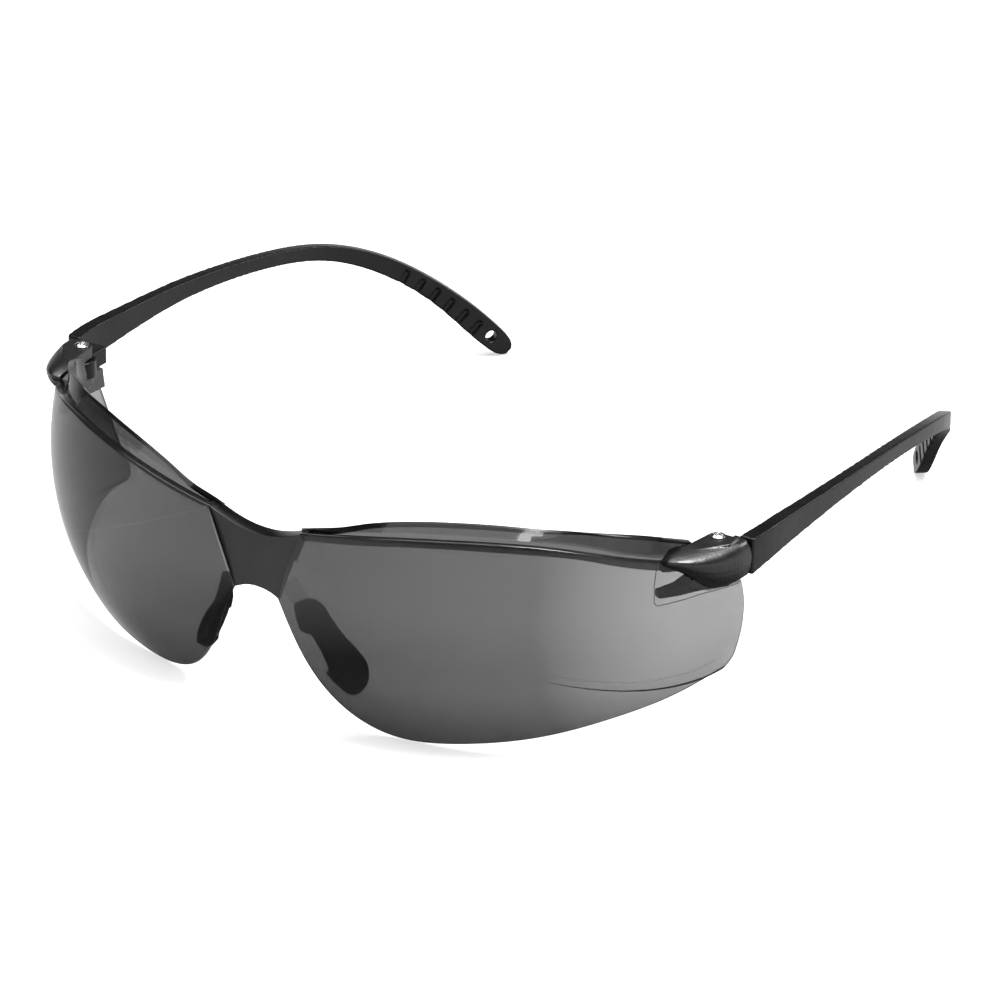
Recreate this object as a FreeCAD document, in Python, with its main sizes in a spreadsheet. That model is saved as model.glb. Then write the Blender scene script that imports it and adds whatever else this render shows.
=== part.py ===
"""Wraparound safety glasses, in millimetres.

+Z is up, +Y points from the lenses back to the temple tips, and X = 0 is the plane of symmetry. The origin
is under the middle of the object, on the surface that it stands on. A piece with a left and a right is drawn
once, at +X, which is the wearer's left hand and the right of a front view, and is then mirrored. The names
left and right are those of the front view.
"""

import FreeCAD, Part
import math
import os
import Sketcher

from FreeCAD import Placement, Rotation, Vector

SIZES = {
    # Each lens is a piece of a hollow ball.
    "lens_radius": 50.4,
    "lens_thickness": 2.0,
    "lens_centre_x": 17.1,
    "lens_centre_y": -24.6,
    "lens_centre_z": 28.06,
    "lens_turn": 37.0,
    "lens_seat_gap": 0.08,
    "lens_room_depth": 6.0,
    # The smoke moulding behind the lenses.
    "brow_thickness": 1.1,
    "brow_flange_drop": 2.2,
    "brow_rim_height": 1.6,
    "bridge_top_half": 9.9,
    "bridge_foot_half": 4.7,
    "bridge_top_z": 37.4,
    "bridge_sag": 2.8,
    "bridge_foot_z": 23.3,
    "bridge_arch": 1.3,
    "bridge_front_y": -73.5,
    "bridge_hollow": 0.6,
    "bridge_depth": 2.8,
    "bridge_plan_half": 11.9,
    "arm_width": 3.0,
    "arm_thickness": 1.2,
    "arm_above_pad": 13.0,
    "arm_in_pad": 3.0,
    # The black corner piece and the hinge.
    "prong_thickness": 2.2,
    "hinge_x": 66.0,
    "hinge_y": -34.5,
    "hinge_barrel_radius": 2.5,
    "hinge_sweep_radius": 3.1,
    "lug_side": 1.6,
    "lug_end": 1.45,
    "lug_corner": 0.5,
    "hinge_top_z": 37.0,
    "hinge_lug_upper": 2.4,
    "hinge_knuckle": 3.2,
    "hinge_lug_lower": 2.1,
    "hinge_play": 0.12,
    "hinge_bore_radius": 0.8,
    "hinge_web": 3.0,
    "web_gap": 0.25,
    "web_length": 6.5,
    "web_overlap": 0.5,
    "screw_radius": 0.75,
    "screw_head_radius": 1.3,
    "screw_head_height": 0.55,
    "screw_slot_width": 0.36,
    "screw_slot_depth": 0.3,
    "screw_end_gap": 0.1,
    "nut_across": 3.0,
    "nut_height": 1.1,
    "nut_play": 0.04,
    "nut_bore_play": 0.01,
    # The pad on each side of the nose.
    "pad_length": 12.4,
    "pad_top_radius": 3.2,
    "pad_foot_radius": 3.6,
    "pad_waist": 0.9,
    "pad_waist_outer": 0.3,
    "pad_thickness": 2.0,
    "pad_bend_radius": 34.0,
    # The side arms.
    "rib_depth": 0.5,
    "rib_width": 1.2,
    "rib_bar_half": 1.18,
    "rib_foot": 0.9,
    "cord_hole_radius": 1.15,
}

# Lens outline seen from the centre of its ball, along its middle: tangents of the angles across and up.
LENS_TOP = [(-1.043, 0.272), (-0.72, 0.285), (-0.4, 0.293), (-0.15, 0.287), (0.09, 0.264), (0.36, 0.208),
            (0.58, 0.163), (0.765, 0.12)]
LENS_NOTCH = [(0.765, 0.12), (0.79, 0.004)]
LENS_LEDGE = [(0.79, 0.004), (1.14, -0.043)]
LENS_SIDE = [(1.14, -0.043), (1.225, -0.21), (1.285, -0.4), (1.335, -0.6)]
LENS_CORNER = [(1.335, -0.6), (1.33, -0.69), (1.25, -0.698)]
LENS_FOOT = [(1.25, -0.698), (0.95, -0.602), (0.65, -0.55), (0.38, -0.53), (0.1, -0.568), (-0.2, -0.645),
             (-0.42, -0.726), (-0.61, -0.762), (-0.76, -0.732), (-0.92, -0.628), (-1.08, -0.42),
             (-1.268, -0.145)]
LENS_NOSE_SIDE = [(-1.268, -0.145), (-1.043, 0.272)]
LENS_OUTLINE = [LENS_TOP, LENS_NOTCH, LENS_LEDGE, LENS_SIDE, LENS_CORNER, LENS_FOOT, LENS_NOSE_SIDE]
# The outer top corner of the same outline in straight lines, out past its sides.
CORNER_ROOM = [(0.3, 0.225), (0.58, 0.165), (0.767, 0.122), (0.792, 0.006), (1.3, -0.064), (1.3, -0.5), (0.3, -0.5)]
LENS_CONE_NEAR = 22.0
LENS_CONE_FAR = 62.0
LENS_ROOM_GROWTH = 1.003

# The fork of the corner piece that grips the lens from behind, in the same tangents.
FORK = [(0.581, 0.151), (0.578, 0.104), (0.758, 0.1), (0.776, 0.06), (0.676, 0.038), (0.552, 0.03),
        (0.553, -0.006), (0.677, -0.016), (0.8, -0.025), (0.94, -0.035), (0.94, 0.03), (0.8, 0.04), (0.79, 0.18)]

# The brow at each angle round the lens: height of the lens's top edge, then the rear rim's distance from
# the ball's upright axis and its height.
BROW = [(-9.0, 37.6, 46.4, 37.4), (-3.0, 38.7, 45.9, 38.9), (5.0, 40.0, 45.0, 41.1), (14.0, 41.2, 44.2, 42.5),
        (23.0, 41.75, 43.8, 43.1), (32.0, 41.65, 43.9, 43.1), (41.0, 41.0, 44.7, 42.65),
        (49.0, 39.8, 45.6, 42.0), (56.0, 37.95, 46.8, 41.0), (63.0, 36.1, 47.8, 39.7), (69.0, 34.6, 48.6, 38.2)]

# The temple: a point on its middle line, then its height and its thickness there.
TEMPLE = [(69.9, -31.8, 33.4, 6.6, 2.7), (70.5, -17.6, 34.1, 4.9, 2.4), (70.5, -3.5, 34.0, 3.7, 2.2),
          (69.8, 11.5, 33.1, 3.0, 2.1), (68.5, 26.2, 31.3, 2.8, 2.1), (65.8, 41.8, 27.7, 3.0, 2.2),
          (61.1, 53.2, 22.2, 3.5, 2.3), (53.8, 63.4, 13.3, 4.2, 2.4), (47.6, 71.2, 3.6, 4.6, 2.4),
          (46.3, 72.8, 1.6, 3.4, 2.3), (45.8, 73.4, 0.8, 1.5, 2.1)]
RIB_STATIONS = (0.765, 0.797, 0.829, 0.861, 0.893, 0.925)
CORD_HOLE_STATION = 0.957
CORD_HOLE_LENGTH = 10.0

# The shoulder of the corner piece, from the seam with the temple forward round the lens: the middle of each
# section, its height, its thickness and the way it runs, in degrees round from straight forward.
SHOULDER = [(69.85, -32.0, 33.4, 6.6, 2.7, 4.0), (68.9, -36.2, 33.0, 6.8, 3.2, 17.0),
            (66.9, -41.0, 33.1, 6.8, 3.6, 33.0), (64.0, -45.0, 34.3, 5.2, 3.4, 42.0),
            (61.2, -48.0, 35.6, 2.6, 2.4, 47.0)]
SHOULDER_FLAT = 0.45
SHOULDER_UPRIGHT = 0.45
# The lugs seen from above, from the front of their inner side round to the shoulder.
LUG_FRONT = (62.4, -43.2)
LUG_SHOULDER = [(69.2, -36.0), (65.9, -43.2)]

# Longer than anything that it has to cut through, and how far a small cutter stands out of the piece.
BEYOND = 100.0
PROUD = 5.0

# Where the curve of the bridge's top is nearly down: its share of the half width and of the sag.
BRIDGE_TOP_BEND = (0.45, 0.8)

# Shares of the screw head: how high its upright rim is and how far its cross reaches.
SCREW_RIM_SHARE = 0.35
SCREW_CROSS_SHARE = 0.75

# The nose pad: its middle, the way its length runs and the way its face looks.
PAD_MIDDLE = Vector(10.7, -67.9, 15.0)
PAD_ALONG = Vector(0.457, 0.225, -0.861)
PAD_FACE = Vector(-0.75, 0.62, -0.236)
# How much of its thickness lies outside its middle, and how far its slab runs past its outline.
PAD_FACE_SHARE = 1 / 3
PAD_SPARE = 1.0


def size(alias):
    return SIZES[alias]


def make_sheet(doc):
    sheet = doc.addObject("Spreadsheet::Sheet", "sizes")
    cells = dict(SIZES)
    for i, station in enumerate(TEMPLE):
        cells[f"temple_height_{i}"] = station[3]
        cells[f"temple_thickness_{i}"] = station[4]
    for row, (alias, number) in enumerate(cells.items(), start=1):
        sheet.set(f"A{row}", alias)
        sheet.set(f"B{row}", str(number))
        sheet.setAlias(f"B{row}", alias)
    doc.recompute()


def bind(obj, **cells):
    for prop, expression in cells.items():
        obj.setExpression(prop.replace("__", "."), str(expression))
    return obj


def primitive(doc, kind, name, **cells):
    return bind(doc.addObject(f"Part::{kind}", name), **cells)


def cut(doc, name, base, tool):
    obj = doc.addObject("Part::Cut", name)
    obj.Base = base
    obj.Tool = tool
    return obj


def common(doc, name, first, second):
    obj = doc.addObject("Part::Common", name)
    obj.Base = first
    obj.Tool = second
    return obj


def fuse(doc, name, shapes):
    obj = doc.addObject("Part::MultiFuse", name)
    obj.Shapes = shapes
    return obj


def mirror(doc, name, source):
    obj = doc.addObject("Part::Mirroring", name)
    obj.Source = source
    obj.Normal = Vector(1, 0, 0)
    obj.Base = Vector(0, 0, 0)
    return obj


def loft(doc, name, sections, ruled):
    obj = doc.addObject("Part::Loft", name)
    obj.Sections = sections
    obj.Solid = True
    obj.Ruled = ruled
    return obj


def curve_through(points):
    """A line through two points, an arc through three and a smooth curve through more."""
    if len(points) == 2:
        return Part.LineSegment(*points)
    if len(points) == 3:
        return Part.Arc(*points)
    curve = Part.BSplineCurve()
    curve.interpolate(points)
    return curve


def outline_sketch(doc, name, pieces, placement):
    sketch = doc.addObject("Sketcher::SketchObject", name)
    for piece in pieces:
        sketch.addGeometry(curve_through([Vector(u, v, 0) for u, v in piece]), False)
    sketch.Placement = placement
    return sketch


def closed_polygon(points):
    return [[a, b] for a, b in zip(points, points[1:] + points[:1])]


def extrude(doc, name, sketch, forward, backward=0.0):
    obj = doc.addObject("Part::Extrusion", name)
    obj.Base = sketch
    obj.DirMode = "Normal"
    obj.Solid = True
    obj.LengthFwd = forward
    obj.LengthRev = backward
    return obj


def axes(across, up):
    """The turn that lays a sketch's own X on across and its own Y on up."""
    return Rotation(across, up, across.cross(up), "ZXY")


PLAN = Placement(Vector(0, 0, 0), Rotation())
SIDE = Placement(Vector(0, 0, 0), axes(Vector(0, 1, 0), Vector(0, 0, 1)))
FRONT = Placement(Vector(0, 0, 0), axes(Vector(1, 0, 0), Vector(0, 0, 1)))


def lens_centre():
    return Vector(size("lens_centre_x"), size("lens_centre_y"), size("lens_centre_z"))


def ball(doc, name, radius):
    return primitive(
        doc, "Sphere", name,
        Radius=radius,
        Placement__Base__x="sizes.lens_centre_x",
        Placement__Base__y="sizes.lens_centre_y",
        Placement__Base__z="sizes.lens_centre_z",
        Placement__Rotation__Angle="90 + sizes.lens_turn",
    )


def shell(doc, name, outside, inside):
    return cut(doc, name, ball(doc, name + "_outside", outside), ball(doc, name + "_inside", inside))


def cone(doc, name, pieces, growth=1.0):
    """The solid angle inside an outline of tangents, from near the ball's centre to beyond its skin."""
    turn = math.radians(size("lens_turn"))
    across = Vector(math.cos(turn), math.sin(turn), 0)
    outward = Vector(math.sin(turn), -math.cos(turn), 0)
    sections = []
    for end, distance in (("near", LENS_CONE_NEAR), ("far", LENS_CONE_FAR)):
        scale = distance * growth
        scaled = [[(a * scale, b * scale) for a, b in piece] for piece in pieces]
        where = Placement(lens_centre() + outward * distance, axes(across, Vector(0, 0, 1)))
        sections.append(outline_sketch(doc, f"{name}_{end}", scaled, where))
    return loft(doc, name, sections, ruled=True)


def make_lens(doc):
    skin = shell(doc, "lens_skin", "sizes.lens_radius", "sizes.lens_radius - sizes.lens_thickness")
    return common(doc, "lens_right", skin, cone(doc, "lens_cone", LENS_OUTLINE))


def make_lens_room(doc, name, pieces):
    """The space that the lens and the gap round it take out of the pieces that hold it."""
    skin = shell(doc, name + "_skin", "sizes.lens_radius + sizes.lens_room_depth",
                 "sizes.lens_radius - sizes.lens_thickness - sizes.lens_seat_gap")
    return common(doc, name, skin, cone(doc, name + "_cone", pieces, LENS_ROOM_GROWTH))


def lens_back_at(height):
    """Distance from the ball's upright axis to the inside of the lens at a height."""
    inside = size("lens_radius") - size("lens_thickness") - size("lens_seat_gap")
    return math.sqrt(inside**2 - (height - size("lens_centre_z")) ** 2)


def brow_section(doc, name, angle, top, rim_out, rim_z):
    """A flange down the back of the lens, and a shelf that runs back from its top edge to a thicker rim."""
    thick = size("brow_thickness")
    foot = top - size("brow_flange_drop")
    edge, rim = Vector(lens_back_at(top), top, 0), Vector(rim_out, rim_z, 0)
    depth = rim.distanceToPoint(edge)
    along = (rim - edge).normalize()
    under = Vector(-along.y, along.x, 0)
    inset = min(max(0.0, -along.x) * thick, depth / 2)
    points = [
        Vector(lens_back_at(foot), foot, 0),
        edge,
        rim,
        rim + under * size("brow_rim_height"),
        edge + under * thick + along * inset,
        Vector(lens_back_at(foot) - thick, foot, 0),
    ]
    turn = math.radians(angle)
    outward = Vector(math.sin(turn), -math.cos(turn), 0)
    where = Placement(Vector(size("lens_centre_x"), size("lens_centre_y"), 0), axes(outward, Vector(0, 0, 1)))
    return outline_sketch(doc, name, closed_polygon([(p.x, p.y) for p in points]), where)


def make_brow(doc):
    sections = [brow_section(doc, f"brow_section_{i}", *row) for i, row in enumerate(BROW)]
    return loft(doc, "brow_right", sections, ruled=False)


def make_bridge(doc):
    top, foot = size("bridge_top_half"), size("bridge_foot_half")
    top_z, foot_z, sag = size("bridge_top_z"), size("bridge_foot_z"), size("bridge_sag")
    bend, down = BRIDGE_TOP_BEND[0] * top, top_z - BRIDGE_TOP_BEND[1] * sag
    face = [
        [(-top, top_z), (-bend, down), (0, top_z - sag), (bend, down), (top, top_z)],
        [(top, top_z), (foot, foot_z)],
        [(foot, foot_z), (0, foot_z + size("bridge_arch")), (-foot, foot_z)],
        [(-foot, foot_z), (-top, top_z)],
    ]
    front, back = size("bridge_front_y"), size("bridge_front_y") + size("bridge_depth")
    wide, hollow = size("bridge_plan_half"), size("bridge_hollow")
    plan = [
        [(-wide, front), (0, front + hollow), (wide, front)],
        [(wide, front), (wide, back)],
        [(wide, back), (0, back + hollow), (-wide, back)],
        [(-wide, back), (-wide, front)],
    ]
    block = extrude(doc, "bridge_block", outline_sketch(doc, "bridge_face", face, FRONT), BEYOND)
    slab = extrude(doc, "bridge_slab", outline_sketch(doc, "bridge_plan", plan, PLAN), BEYOND)
    return common(doc, "bridge", block, slab)


def pad_frame():
    across = PAD_ALONG.cross(PAD_FACE)
    return Placement(PAD_MIDDLE, Rotation(PAD_ALONG, across, PAD_FACE, "XYZ"))


def make_arm(doc):
    """The tongue from the bridge's foot into the pad."""
    arm = primitive(doc, "Box", "pad_arm", Length="sizes.arm_above_pad + sizes.arm_in_pad",
                    Width="sizes.arm_width", Height="sizes.arm_thickness")
    shift = Vector(-size("arm_above_pad"), -size("arm_width") / 2, -size("arm_thickness"))
    arm.Placement = pad_frame().multiply(Placement(shift, Rotation()))
    return arm


def make_front_frame(doc, room_right, room_left):
    brow = make_brow(doc)
    arm = make_arm(doc)
    parts = [make_bridge(doc), brow, mirror(doc, "brow_left", brow), arm, mirror(doc, "pad_arm_left", arm)]
    whole = fuse(doc, "front_whole", parts)
    seated = cut(doc, "front_seated", whole, room_right)
    return cut(doc, "front_frame", seated, room_left), brow, arm


def make_pad(doc, arm, room):
    """A bean-shaped outline cut from a slab that bends away from the nose at both ends."""
    half = size("pad_length") / 2
    top, foot = size("pad_top_radius"), size("pad_foot_radius")
    bean = [(-half - top, 0), (-half, top), (0, top - size("pad_waist_outer")), (half, foot), (half + foot, 0),
            (half, -foot), (0, -top + size("pad_waist")), (-half, -top)]
    outline = doc.addObject("Sketcher::SketchObject", "pad_outline")
    curve = Part.BSplineCurve()
    curve.interpolate([Vector(u, v, 0) for u, v in bean], PeriodicFlag=True)
    outline.addGeometry(curve, False)
    outline.Placement = pad_frame()
    block = extrude(doc, "pad_block", outline, BEYOND, BEYOND)
    reach, thick = half + foot + PAD_SPARE, size("pad_thickness")
    drop = reach**2 / (2 * size("pad_bend_radius"))
    rise = thick * PAD_FACE_SHARE
    slab_side = [
        [(-reach, rise - drop), (0, rise), (reach, rise - drop)],
        [(reach, rise - drop), (reach, rise - drop - thick)],
        [(reach, rise - drop - thick), (0, rise - thick), (-reach, rise - drop - thick)],
        [(-reach, rise - drop - thick), (-reach, rise - drop)],
    ]
    side = outline_sketch(doc, "pad_side", slab_side, pad_frame().multiply(FRONT))
    slab = extrude(doc, "pad_slab", side, reach, reach)
    seated = cut(doc, "pad_seated", common(doc, "pad_whole", block, slab), room)
    return cut(doc, "nose_pad_right", seated, arm)


def hinge_cylinder(doc, name, radius, bottom, height):
    return primitive(
        doc, "Cylinder", name, Radius=radius, Height=height,
        Placement__Base__x="sizes.hinge_x", Placement__Base__y="sizes.hinge_y", Placement__Base__z=bottom,
    )


def hinge_box(doc, name, bottom, height, x, y, length, width):
    return primitive(
        doc, "Box", name, Length=length, Width=width, Height=height,
        Placement__Base__x=x, Placement__Base__y=y, Placement__Base__z=bottom,
    )


LUG_UPPER_Z = "sizes.hinge_top_z - sizes.hinge_lug_upper"
KNUCKLE_Z = f"{LUG_UPPER_Z} - sizes.hinge_play - sizes.hinge_knuckle"
LUG_LOWER_TOP = f"{KNUCKLE_Z} - sizes.hinge_play"
LUG_LOWER_Z = f"{LUG_LOWER_TOP} - sizes.hinge_lug_lower"


def make_lug(doc, name, bottom, height):
    """A square-ended tongue round the screw, from the inner side of the shoulder."""
    x, y = size("hinge_x") - size("lug_side"), size("hinge_y") + size("lug_end")
    corner = size("lug_corner")
    outline = [LUG_FRONT, (x, y - corner), (x + corner, y), (LUG_SHOULDER[0][0], y), *LUG_SHOULDER]
    lug = extrude(doc, name, outline_sketch(doc, name + "_plan", closed_polygon(outline), PLAN), 1.0)
    bind(lug.Base, Placement__Base__z=bottom)
    return bind(lug, LengthFwd=height)


def make_hex(doc, name, across, bottom, height):
    prism = primitive(
        doc, "Prism", name, Circumradius=f"{across} / 2 / cos(30)", Height=height,
        Placement__Base__x="sizes.hinge_x", Placement__Base__y="sizes.hinge_y", Placement__Base__z=bottom,
    )
    prism.Polygon = 6
    return prism


def shoulder_section(doc, i):
    """A tall octagon."""
    x, y, z, height, thickness, turn = SHOULDER[i]
    u, v = thickness / 2, height / 2
    near, far = (u * SHOULDER_FLAT, v), (u, v * SHOULDER_UPRIGHT)
    quarter = [far, near]
    ring = quarter + [(-a, b) for a, b in reversed(quarter)]
    ring += [(-a, -b) for a, b in quarter] + [(a, -b) for a, b in reversed(quarter)]
    across = Vector(math.cos(math.radians(turn)), -math.sin(math.radians(turn)), 0)
    where = Placement(Vector(x, y, z), axes(across, Vector(0, 0, 1)))
    return outline_sketch(doc, f"shoulder_section_{i}", closed_polygon(ring), where)


def make_endpiece(doc, room, brow):
    prongs_skin = shell(doc, "prong_skin", "sizes.lens_radius - sizes.lens_thickness - 2 * sizes.lens_seat_gap",
                        "sizes.lens_radius - sizes.lens_thickness - sizes.prong_thickness")
    prongs = common(doc, "prongs", prongs_skin, cone(doc, "prong_cone", closed_polygon(FORK)))
    sections = [shoulder_section(doc, i) for i in range(len(SHOULDER))]
    shoulder = loft(doc, "shoulder", sections, ruled=False)
    upper = make_lug(doc, "lug_upper", LUG_UPPER_Z, "sizes.hinge_lug_upper")
    lower = make_lug(doc, "lug_lower", LUG_LOWER_Z, "sizes.hinge_lug_lower")
    sweep = hinge_cylinder(doc, "knuckle_sweep", "sizes.hinge_sweep_radius", LUG_LOWER_TOP,
                           "sizes.hinge_knuckle + 2 * sizes.hinge_play")
    bore = hinge_cylinder(doc, "lug_bore", "sizes.hinge_bore_radius", "0", BEYOND)
    pocket = make_hex(doc, "nut_pocket", "sizes.nut_across", LUG_LOWER_Z, "sizes.nut_height")
    whole = fuse(doc, "endpiece_whole", [shoulder, upper, lower, prongs])
    web_room = hinge_box(doc, "web_room", LUG_LOWER_TOP, "sizes.hinge_knuckle + 2 * sizes.hinge_play",
                         "sizes.hinge_x", "sizes.hinge_y", "sizes.hinge_web + sizes.web_gap", BEYOND)
    opened = cut(doc, "endpiece_open", whole, fuse(doc, "hinge_space", [sweep, bore, pocket, web_room]))
    return cut(doc, "endpiece_right", cut(doc, "endpiece_seated", opened, room), brow)


def body_sketch(body, name, role, pieces):
    plane = next(f for f in body.Origin.OriginFeatures if f.Role == role)
    sketch = body.newObject("Sketcher::SketchObject", name)
    sketch.AttachmentSupport = [(plane, "")]
    sketch.MapMode = "FlatFace"
    for piece in pieces:
        sketch.addGeometry(curve_through([Vector(u, v, 0) for u, v in piece]), False)
    return sketch


def make_screw(doc):
    """Turned about its own axis: shank, flat under the head, low dome, and a cross cut in the top."""
    body = doc.addObject("PartDesign::Body", "hinge_screw_right")
    shank, head = size("screw_radius"), size("screw_head_radius")
    length = (size("hinge_lug_upper") + size("hinge_knuckle") + size("hinge_lug_lower")
              + 2 * size("hinge_play") - size("screw_end_gap"))
    rise = size("screw_head_height")
    rim = SCREW_RIM_SHARE * rise
    dome = (head**2 + (rise - rim) ** 2) / (2 * (rise - rim))
    halfway = rise - dome + math.sqrt(dome**2 - (head / 2) ** 2)
    profile = [
        [(0, -length), (shank, -length)],
        [(shank, -length), (shank, 0)],
        [(shank, 0), (head, 0)],
        [(head, 0), (head, rim)],
        [(head, rim), (head / 2, halfway), (0, rise)],
        [(0, rise), (0, -length)],
    ]
    sketch = body_sketch(body, "screw_profile", "XZ_Plane", profile)
    turned = body.newObject("PartDesign::Revolution", "screw_turned")
    turned.Profile = sketch
    turned.ReferenceAxis = (sketch, ["V_Axis"])
    turned.Angle = 360
    body.Tip = turned
    bind(body, Placement__Base__x="sizes.hinge_x", Placement__Base__y="sizes.hinge_y",
         Placement__Base__z="sizes.hinge_top_z")
    doc.recompute()
    half, reach = size("screw_slot_width") / 2, SCREW_CROSS_SHARE * head
    for name, (a, b) in {"slot_long": (reach, half), "slot_short": (half, reach)}.items():
        corners = closed_polygon([(-a, -b), (a, -b), (a, b), (-a, b)])
        plate = body_sketch(body, name + "_sketch", "XY_Plane", corners)
        plate.AttachmentOffset = Placement(Vector(0, 0, rise), Rotation())
        pocket = body.newObject("PartDesign::Pocket", name)
        pocket.Profile = plate
        bind(pocket, Length="sizes.screw_slot_depth")
        pocket.Reversed = False
        body.Tip = pocket
        doc.recompute()
    return body


def make_nut(doc):
    blank = make_hex(doc, "nut_blank", "(sizes.nut_across - sizes.nut_play)", LUG_LOWER_Z, "sizes.nut_height")
    hole = hinge_cylinder(doc, "nut_hole", "sizes.screw_radius + sizes.nut_bore_play", "0", BEYOND)
    return cut(doc, "hinge_nut_right", blank, hole)


def middle_line():
    line = Part.BSplineCurve()
    line.interpolate([Vector(x, y, z) for x, y, z, _, _ in TEMPLE])
    return line


def station_frame(line, point, along=None):
    """Across the temple from inside to outside is X, up is Y and the way back along it is Z."""
    if along is None:
        along = line.tangent(line.parameter(point))[0]
    across = along.cross(Vector(0, 0, 1)).normalize()
    return Placement(point, Rotation(across, across.cross(along), along, "ZXY"))


def bar_section(doc, i, placement):
    """A rectangle centred on the middle line, with its two sizes from the sheet."""
    height, thickness = TEMPLE[i][3], TEMPLE[i][4]
    sketch = doc.addObject("Sketcher::SketchObject", f"temple_section_{i}")
    u, v = thickness / 2, height / 2
    corners = [Vector(-u, -v, 0), Vector(u, -v, 0), Vector(u, v, 0), Vector(-u, v, 0)]
    for a, b in zip(corners, corners[1:] + corners[:1]):
        sketch.addGeometry(Part.LineSegment(a, b), False)
    for edge in range(4):
        sketch.addConstraint(Sketcher.Constraint("Coincident", edge, 2, (edge + 1) % 4, 1))
    for edge, way in ((0, "Horizontal"), (2, "Horizontal"), (1, "Vertical"), (3, "Vertical")):
        sketch.addConstraint(Sketcher.Constraint(way, edge))
    sketch.addConstraint(Sketcher.Constraint("Symmetric", 0, 1, 1, 2, -1, 1))
    for edge, alias in ((0, "thickness"), (1, "height")):
        kind = "DistanceX" if edge == 0 else "DistanceY"
        length = thickness if edge == 0 else height
        index = sketch.addConstraint(Sketcher.Constraint(kind, edge, 1, edge, 2, length))
        sketch.setExpression(f"Constraints[{index}]", f"sizes.temple_{alias}_{i}")
    sketch.Placement = placement
    return sketch


def point_at(line, fraction):
    total = line.length()
    return line.value(line.parameterAtDistance(fraction * total, line.FirstParameter))


def make_temple(doc):
    line = middle_line()
    sections = []
    for i, (x, y, z, _, _) in enumerate(TEMPLE):
        along = Vector(0, 1, 0) if i == 0 else None
        sections.append(bar_section(doc, i, station_frame(line, Vector(x, y, z), along)))
    doc.recompute()
    bar = loft(doc, "temple_bar", sections, ruled=False)
    barrel = hinge_cylinder(doc, "knuckle_barrel", "sizes.hinge_barrel_radius", KNUCKLE_Z, "sizes.hinge_knuckle")
    web = hinge_box(doc, "knuckle_web", KNUCKLE_Z, "sizes.hinge_knuckle", "sizes.hinge_x - sizes.web_overlap",
                    "sizes.hinge_y", "sizes.hinge_web + sizes.web_overlap", "sizes.web_length")
    bore = hinge_cylinder(doc, "knuckle_bore", "sizes.hinge_bore_radius", "0", BEYOND)
    hole = primitive(doc, "Cylinder", "cord_hole", Radius="sizes.cord_hole_radius", Height=CORD_HOLE_LENGTH)
    frame = station_frame(line, point_at(line, CORD_HOLE_STATION))
    sideways = Placement(Vector(-CORD_HOLE_LENGTH / 2, 0, 0), Rotation(Vector(0, 1, 0), 90))
    hole.Placement = frame.multiply(sideways)
    tools = [bore, hole]
    for i, fraction in enumerate(RIB_STATIONS):
        rib = primitive(doc, "Box", f"rib_groove_{i}", Length=f"sizes.rib_depth + {PROUD}",
                        Width=f"2 * {PROUD}", Height="sizes.rib_width")
        frame = station_frame(line, point_at(line, fraction))
        shift = Vector(-size("rib_bar_half") - PROUD, -size("rib_foot"), -size("rib_width") / 2)
        rib.Placement = frame.multiply(Placement(shift, Rotation()))
        tools.append(rib)
    whole = fuse(doc, "temple_whole", [bar, barrel, web])
    return cut(doc, "temple_right", whole, fuse(doc, "temple_cuts", tools))


def check_document(doc):
    for obj in doc.Objects:
        if "Invalid" in obj.State or "Error" in obj.State:
            raise RuntimeError(f"{obj.Name} failed: {obj.State}")


def write_parts(nodes):
    os.makedirs("parts", exist_ok=True)
    for name, obj in nodes.items():
        shape = obj.Shape
        if shape.isNull() or not shape.isValid():
            raise RuntimeError(f"{name} has no valid shape")
        obj.Label = name
        shape.exportStep(f"parts/{name}.step")
        box = shape.BoundBox
        print(f"{name}: {len(shape.Solids)} solid, {shape.Volume:.1f} mm3, "
              f"x {box.XMin:.2f} {box.XMax:.2f}, y {box.YMin:.2f} {box.YMax:.2f}, z {box.ZMin:.2f} {box.ZMax:.2f}")


def main():
    doc = FreeCAD.newDocument("safety_glasses")
    make_sheet(doc)
    room_right = make_lens_room(doc, "lens_room", LENS_OUTLINE)
    corner_room = make_lens_room(doc, "corner_room", closed_polygon(CORNER_ROOM))
    room_left = mirror(doc, "lens_room_left", room_right)
    front, brow, arm = make_front_frame(doc, room_right, room_left)
    nodes = {"front_frame": front}
    makers = {
        "lens": lambda: make_lens(doc),
        "endpiece": lambda: make_endpiece(doc, corner_room, brow),
        "nose_pad": lambda: make_pad(doc, arm, room_right),
        "temple": lambda: make_temple(doc),
        "hinge_screw": lambda: make_screw(doc),
        "hinge_nut": lambda: make_nut(doc),
    }
    for name, maker in makers.items():
        right = maker()
        nodes[f"{name}_right"] = right
        nodes[f"{name}_left"] = mirror(doc, f"{name}_left", right)
    doc.recompute()
    check_document(doc)
    write_parts(nodes)


main()
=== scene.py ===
"""Looks for the safety glasses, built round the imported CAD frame, in metres."""

import math

import bmesh
import bpy
import numpy as np
from mathutils import Matrix, Vector


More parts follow.
